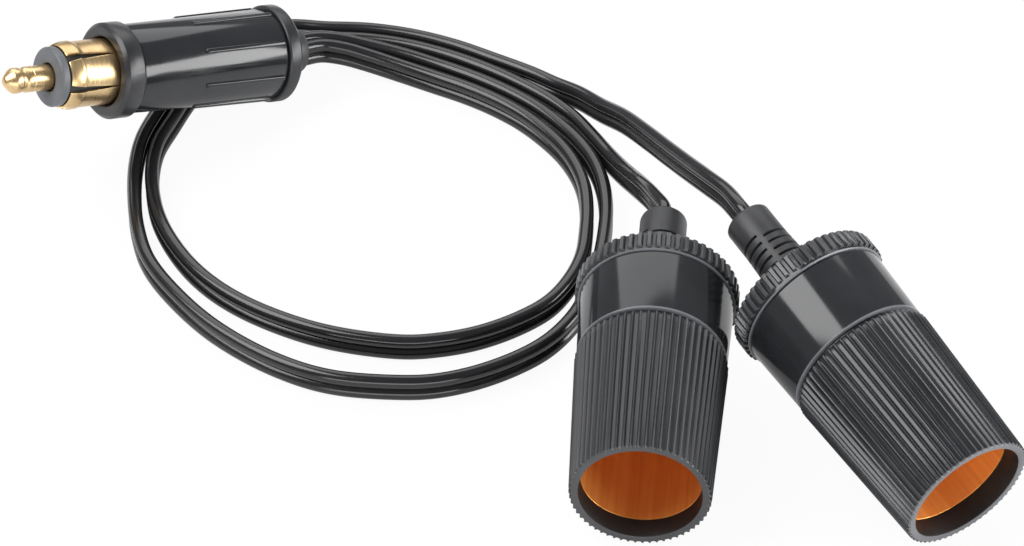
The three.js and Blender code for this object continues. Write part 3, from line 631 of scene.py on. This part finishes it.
def makeBush():
    neck, outside = plug["capHole"] - seatGap, -plug["capRear"] - seatGap
    wall = -plug["capRear"] + plug["capWall"] + seatGap
    profile = [
        (5.4, wall + 1.2), (5.4, wall), (neck, wall), (neck, outside), (4.6, outside),
        (4.85, outside - 0.25), (4.85, outside - 1.7), (4.55, outside - 2), (4.42, outside - 3),
        (4.3, outside - 4.2), (4.05, outside - 4.6),
    ]
    bush = turnedPiece("cable_bush", profile, sides=64, bevel=0.08)
    cutters = []
    for side in (1, -1):
        cutters += slotCutter(side * cable["beside"], wall + 2.2, outside - 5.6)
    cutOut(bush, *cutters)
    bpy.ops.object.shade_smooth_by_angle(angle=math.radians(35))
    return bush


plugFinishes = {
    "brass": turnedMetal(
        "brass", (0.74, 0.55, 0.3), (0.52, 0.35, 0.17), 0.3, plugMatrix, lineDepth=0.001,
    ),
    "grey": moulded("insulator_grey", (0.1, 0.106, 0.116), 0.5, 1500, 0.02),
    "under": moulded("insulator_shadowed", (0.02, 0.02, 0.02), 0.6, 1500, 0.02),
    # The flange's and end ring's edges get a painted highlight
    "matt": moulded("flange_black", (0.013, 0.0135, 0.015), 0.36, 1500, 0.02, paintedEdgeHighlight=0.3),
    "gloss": moulded("barrel_black", (0.014, 0.0147, 0.0165), 0.14, 400, 0.004, uneven=0.03),
    "rubber": moulded("bush_rubber", (0.03, 0.031, 0.034), 0.5, 1500, 0.03),
}
for make, look, slot, node in (
    (makePin, "brass", "brass", "plug_centre_pin"),
    (makeInsulator, "grey", "insulator_grey", "plug_insulator_nose"),
    (makeSleeve, "brass", "brass", "plug_spring_sleeve"),
    (makeFlange, "matt", "matt_black", "plug_front_flange"),
    (makeBarrel, "gloss", "gloss_black", "plug_barrel"),
    (makeEndCap, "matt", "matt_black", "plug_end_cap"),
    (makeBush, "rubber", "rubber_black", "plug_cable_bush"),
):
    made = make()
    finish(made, plugFinishes[look])
    if node == "plug_insulator_nose":
        finishFaces(made, plugFinishes["under"], lambda r, z: z < -1.5)
    putInPlace(made, plugMatrix, slot, node)
print("plug made")


# Sockets
socket = {
    "mouthRadius": 12.1, "openingRadius": 10.4, "lipDepth": 3.9,
    "barrelEnd": 31.3, "barrelRadius": 13.4, "barrelChamfer": 0.9,
    "flutes": 60, "fluteDepth": 0.42,
    "collarRadii": (13.15, 13.65), "collarEnd": 45.1, "bore": 11.15,
    "shellBore": 10.5, "shellWall": 0.4, "shellFront": 4.15, "shellRear": 38.75,
    "capFront": 45.35, "capRear": 49.55, "capRadius": 14.5, "capWall": 2, "teeth": 54,
    "toothDepth": 0.5, "bootRear": 67.15, "bootRadii": (5.0, 4.25), "neckRadius": 4.4,
    "bootPlain": 5.6, "grooves": 4, "groovePitch": 1.7, "groove": 0.55, "grooveDepth": 0.55,
    "bootBand": 1.0, "bandTurn": 30, "panelDepth": 0.26, "panelHalf": 74,
}


def makeHousing():
    mouth, rear = socket["mouthRadius"], socket["barrelRadius"]
    chamfer, end, depth = socket["barrelChamfer"], socket["barrelEnd"], socket["fluteDepth"]
    opening, bore = socket["openingRadius"], socket["bore"]
    collarFront, collarRear = socket["collarRadii"]
    straight = end - chamfer

    def fluted(radius, hollow=depth):
        return ribbed(radius, hollow, socket["flutes"], crestShare=0.3, softness=0.3)

    def barrelRadius(s):
        return mouth + (rear - mouth) * s / straight

    profile = [
        (opening, -0.5), (opening + 0.12, -0.14), (opening + 0.45, 0),
        (mouth - 0.62, 0), (fluted(mouth - 0.2, 0.34), 0), (fluted(mouth - 0.05), -0.08),
        (fluted(mouth + 0.01), -0.3),
        *((fluted(barrelRadius(s)), -s) for s in (8, 16, 24, straight - 1.2)),
        (fluted(rear), -straight), (fluted(rear - 0.3, 0.4), -end + 0.25),
        (fluted(rear - 0.75, 0.2), -end), (12.38, -end), (12.38, -end - 0.4),
        (collarFront - 0.3, -end - 0.4), (collarFront - 0.06, -end - 0.5),
        (collarFront, -end - 0.75), (collarRear, -socket["collarEnd"] + 0.15),
        (collarRear - 0.15, -socket["collarEnd"]), (bore, -socket["collarEnd"]),
        (bore, -socket["lipDepth"]), (opening, -socket["lipDepth"]),
    ]
    return turnedPiece("fluted_housing", profile, sides=720, closed=True, smooth=30)


def makeShell():
    bore, wall = socket["shellBore"], socket["shellWall"]
    front, rear, corner = -socket["shellFront"], -socket["shellRear"], 1.6

    def rounded(radius):
        turns = (k * math.pi / 12 for k in range(7))
        centre = bore + wall - corner
        return [
            (centre + radius * math.cos(a), rear + corner - radius * math.sin(a)) for a in turns
        ]

    profile = (
        [(bore, front - 0.06), (bore + 0.06, front), (bore + wall - 0.06, front),
         (bore + wall, front - 0.06)]
        + rounded(corner) + [(3.2, rear), (3.2, rear + wall)] + rounded(corner - wall)[::-1]
    )
    return turnedPiece("contact_shell", profile, sides=120, closed=True, smooth=40)


def makeContact():
    front = -socket["shellRear"] + 2.8
    profile = [
        (1.75, front), (2.9, front), (3.4, front - 0.06), (4.3, front - 0.4),
        (4.6, front - 0.6), (4.6, front - 0.9), (1.75, front - 0.9),
    ]
    return turnedPiece("centre_button", profile, sides=64, bevel=0.06, closed=True)


def makeBolt():
    front = -socket["shellRear"] + 4.35
    profile = [
        (0.5, front), (1.45, front - 0.1), (2.1, front - 0.32), (2.6, front - 0.65),
        (2.9, front - 1.05), (2.9, front - 1.3), (1.5, front - 1.3), (1.5, front - 9),
    ]
    return turnedPiece("contact_bolt_head", profile, sides=48, smooth=40)


# The rear cap's grip: ribs with a plain lip in front and a chamfered rear
def makeCap():
    front, rear, radius = -socket["capFront"], -socket["capRear"], socket["capRadius"]
    spigot, neck, lip = 10.9, socket["neckRadius"] + seatGap, radius - 0.5
    wall, shellRear = rear + socket["capWall"], -socket["shellRear"] - seatGap

    def teeth(height, depth=socket["toothDepth"]):
        return ribbed(height, depth, socket["teeth"], crestShare=0.52, softness=0.16)

    profile = [
        (spigot, front), (lip - 0.2, front), (lip, front - 0.15), (lip, front - 0.55),
        (teeth(radius - 0.35, 0.15), front - 0.6), (teeth(radius), front - 0.8),
        (teeth(radius), rear + 0.45), (teeth(radius - 0.25, 0.35), rear + 0.1),
        (radius - 0.75, rear), (neck, rear), (neck, wall), (spigot - 1.3, wall),
        (spigot - 1.3, shellRear), (spigot, shellRear),
    ]
    return turnedPiece("ribbed_cap", profile, sides=648, closed=True, smooth=30)


# The rubber boot: a plain end, grooves that two bands break into halves half a pitch apart,
# and a sunk panel behind them on one side
def makeBoot():
    rear, outside = -socket["bootRear"], -socket["capRear"] - seatGap
    wall = -socket["capRear"] + socket["capWall"] + seatGap
    root, end = socket["bootRadii"]
    pitch, width, depth = socket["groovePitch"], socket["groove"], socket["grooveDepth"]
    groovesEnd = rear + socket["bootPlain"]
    bandHalf, panelHalf = math.degrees(socket["bootBand"] / 2 / end), socket["panelHalf"]
    panelStart = groovesEnd + 4.4 * pitch

    def step(value, low, high):
        t = min(1, max(0, (value - low) / (high - low)))
        return t * t * (3 - 2 * t)

    def surface(z):
        share = min(1, max(0, (z - groovesEnd) / (outside - groovesEnd)))
        cone = end + (root - end) * share ** 1.4

        def outline(degrees):
            turn = (degrees - socket["bandTurn"] - 90) % 360
            near = min(turn % 180, 180 - turn % 180)          # degrees from the nearest band
            clear = step(near, bandHalf - 1, bandHalf + 2)
            left = turn < 180
            count = socket["grooves"] + (1 if left else 0)
            along = z - groovesEnd - (0 if left else pitch / 2)
            groove = 0
            if -0.1 < along < count * pitch:
                place = along % pitch
                groove = step(place, 0, 0.22) - step(place, width - 0.22, width)
            panel = 0
            if not left and near > bandHalf:
                panel = socket["panelDepth"] * step(z, panelStart, panelStart + 0.2)
                panel *= step(near, bandHalf, bandHalf + 1.5)
                panel *= 1 - step(near, panelHalf, panelHalf + 3)
            return cone - depth * groove * clear - panel
        return outline

    profile = [
        (6.4, wall + 1.2), (6.4, wall), (socket["neckRadius"], wall),
        (socket["neckRadius"], outside), (root - 0.1, outside),
    ]
    z = outside - 0.1
    while z > groovesEnd - 0.2:
        profile.append((surface(z), z))
        z -= 0.11
    profile += [
        (end, groovesEnd - 0.5), (end, rear + 0.6), (end - 0.08, rear + 0.28),
        (end - 0.25, rear + 0.08), (end - 0.5, rear),
    ]
    boot = turnedPiece("cable_boot", profile, sides=180, smooth=38)
    cutOut(boot, *slotCutter(0, wall + 2.2, rear - 1))
    bpy.ops.object.shade_smooth_by_angle(angle=math.radians(38))
    return boot


# The flutes of socket 1 are duller, and the mouth face of socket 2 is painted paler: painted light,
# as both are the same black
socketTones = [
    {"flutes": 0.38, "mouth": (0.035, 0.036, 0.039)},
    {"flutes": 0.25, "mouth": (0.1, 0.102, 0.108)},
]
end, capFront = -socket["barrelEnd"], -socket["capFront"]
for number, matrix, tones in zip((1, 2), socketMatrices, socketTones):
    # The flutes' crests and the cap's teeth get a painted highlight on their edges
    fluteBlack = moulded(
        f"flute_black_{number}", (0.0145, 0.0155, 0.0175), tones["flutes"], 900, 0.012,
        uneven=0.05, paintedEdgeHighlight=0.35,
    )
    collarBlack = moulded(
        f"collar_black_{number}", (0.016, 0.0168, 0.0185), 0.12, 400, 0.003, uneven=0.03,
    )
    # The mouth face's colour is set per socket as painted light: socket 2's is a lit copy of the
    # same black
    faceBlackPaintedLight = moulded(f"mouth_black_{number}", tones["mouth"], 0.4, 1300, 0.02)
    # Pale grey on the collar's front edge, the mouth's rim and the cap's front edge: a painted
    # highlight line
    paintedEdgeLine = moulded(f"edge_black_{number}", (0.13, 0.135, 0.145), 0.3, 1300, 0.01)
    # Darker than the housing's black inside the mouth: painted shade in the recess
    lipPaintedShade = moulded(f"lip_black_{number}", (0.004, 0.0038, 0.0036), 0.5, 1300, 0.02)
    rubber = moulded(f"boot_rubber_{number}", (0.022, 0.0225, 0.0245), 0.46, 1500, 0.03)
    copper = turnedMetal(
        f"copper_{number}", (1.0, 0.5, 0.13), (0.84, 0.34, 0.07), 0.42, matrix,
        lines=800, lineDepth=0.001, along=True, metallic=0.62,
    )
    brass = turnedMetal(
        f"contact_brass_{number}", (0.83, 0.62, 0.27), (0.6, 0.42, 0.18), 0.3, matrix,
    )
    steel = turnedMetal(f"bolt_steel_{number}", (0.62, 0.62, 0.63), (0.45, 0.45, 0.46), 0.3, matrix)
    fibre = moulded(f"fibre_{number}", (0.22, 0.075, 0.045), 0.75, 1200, 0.04)
    for make, look, slot, word in (
        (makeHousing, fluteBlack, "satin_black", "housing"),
        (makeCap, fluteBlack, "matt_black", "rear_cap"),
        (makeBoot, rubber, "rubber_black", "cable_boot"),
        (makeShell, copper, "copper_shell", "metal_shell"),
        (makeContact, brass, "brass", "centre_contact"),
        (makeBolt, steel, "steel", "contact_bolt"),
    ):
        node = f"socket_{number}_{word}"
        made = make()
        finish(made, look)
        if word == "rear_cap":
            finishFaces(made, collarBlack, lambda r, z: z > capFront - 0.62 and r > 12)
            # The cap's front edge gets the painted highlight line
            finishFaces(made, paintedEdgeLine, lambda r, z: z > capFront - 0.16 and r > 12)
        if word == "housing":
            finishFaces(made, collarBlack, lambda r, z: z < end - 0.35 and r > 12)
            finishFaces(made, faceBlackPaintedLight, lambda r, z: z > -0.2 and r < 11.95)
            # The wall inside the mouth gets the painted shade
            finishFaces(made, lipPaintedShade, lambda r, z: z < -0.2 and r < 11)
            # The collar's front edge and the mouth's rim get the painted highlight line
            finishFaces(
                made, paintedEdgeLine,
                lambda r, z: r > 12.4 and (
                    -0.78 < z - end < -0.38 or z > -0.31 and r > socket["mouthRadius"] - 0.3
                ),
            )
        putInPlace(made, matrix, slot, node)
        made.name = made.data.name = f"{made.name.split('.')[0]}_{number}"
    for word, look in (
        ("front_insulator", fibre), ("rear_insulator", fibre), ("contact_nut", steel),
        ("positive_tag", brass), ("negative_tag", brass),
    ):
        finishNode(f"socket_{number}_{word}", look)
    print(f"socket {number} made")

redLead = moulded("lead_red", (0.35, 0.03, 0.02), 0.4, 900, 0.02)
for number in (1, 2):
    finishNode(f"plug_positive_lead_{number}", redLead)
    finishNode(f"plug_negative_lead_{number}", twinBlack)
    finishNode(f"socket_{number}_positive_lead", redLead)
    finishNode(f"socket_{number}_negative_lead", twinBlack)
for name in ("plug_pin_tag", "plug_sleeve_tag"):
    finishNode(name, plugFinishes["brass"])


# Floor: white to the camera but for a soft shadow, dimmer in what the pieces mirror, and plain
# matt to all other light
studio = {
    "floor": (0.86, 0.86, 0.86), "floorRoughness": 0.8, "seenWhite": 0.94, "mirrored": 0.4,
    "sky": (0.3, 0.305, 0.315),
}
bpy.ops.object.select_all(action="DESELECT")
bpy.ops.mesh.primitive_plane_add(size=6, location=(0, 0, -0.00002))
floor = bpy.context.object
floor.name = "floor"
floorPaint, nodes, links, shader = newMaterial("floor_white")
shader.inputs["Base Color"].default_value = (*studio["floor"], 1)
shader.inputs["Roughness"].default_value = studio["floorRoughness"]
glow = nodes.new("ShaderNodeEmission")
glow.inputs["Color"].default_value = (1, 1, 1, 1)
rays = nodes.new("ShaderNodeLightPath")
dimmed = nodes.new("ShaderNodeMath")
dimmed.operation = "MULTIPLY"
dimmed.inputs[1].default_value = studio["mirrored"]
links.new(rays.outputs["Is Glossy Ray"], dimmed.inputs[0])
seen = nodes.new("ShaderNodeMath")
seen.operation = "MAXIMUM"
links.new(rays.outputs["Is Camera Ray"], seen.inputs[0])
links.new(dimmed.outputs[0], seen.inputs[1])
share = nodes.new("ShaderNodeMath")
share.operation = "MULTIPLY"
share.inputs[1].default_value = studio["seenWhite"]
links.new(seen.outputs[0], share.inputs[0])
blend = nodes.new("ShaderNodeMixShader")
links.new(share.outputs[0], blend.inputs[0])
links.new(shader.outputs["BSDF"], blend.inputs[1])
links.new(glow.outputs["Emission"], blend.inputs[2])
links.new(blend.outputs["Shader"], nodes["Material Output"].inputs["Surface"])
finish(floor, floorPaint)

# Soft studio light
world = bpy.data.worlds.new("studio")
bpy.context.scene.world = world
world.use_nodes = True
sky = world.node_tree.nodes["Background"]
sky.inputs["Color"].default_value = (*studio["sky"], 1)
sky.inputs["Strength"].default_value = 1


# A soft lamp at a compass angle from straight behind the object, clockwise, and a height angle
def softbox(name, around, height, distance, width, tall, brightness):
    a, h = math.radians(around), math.radians(height)
    place = distance * Vector((math.sin(a) * math.cos(h), math.cos(a) * math.cos(h), math.sin(h)))
    bpy.ops.object.light_add(type="AREA", location=place)
    lamp = bpy.context.object
    lamp.name = name
    lamp.data.shape = "RECTANGLE"
    lamp.data.size, lamp.data.size_y = width, tall
    lamp.data.energy = brightness * math.pi * width * tall
    lamp.rotation_euler = (-place).to_track_quat("-Z", "Y").to_euler()
    return lamp


# The left lamp gives the band on socket 2's collar, the right one that on the plug's barrel and
# the card behind that on socket 1's collar; the one in front reaches into the sockets
softbox("softbox_left", -97, 53, 0.9, 0.6, 0.66, 6)
softbox("softbox_right", 104, 13, 0.9, 0.9, 0.44, 9)
softbox("card_behind", -8, 44, 1.1, 1.3, 0.8, 2.1)
softbox("fill_front", 182, 9, 1.0, 1.2, 0.28, 4.4)
bpy.context.scene.view_settings.view_transform = "Standard"
print("stage and lights made")
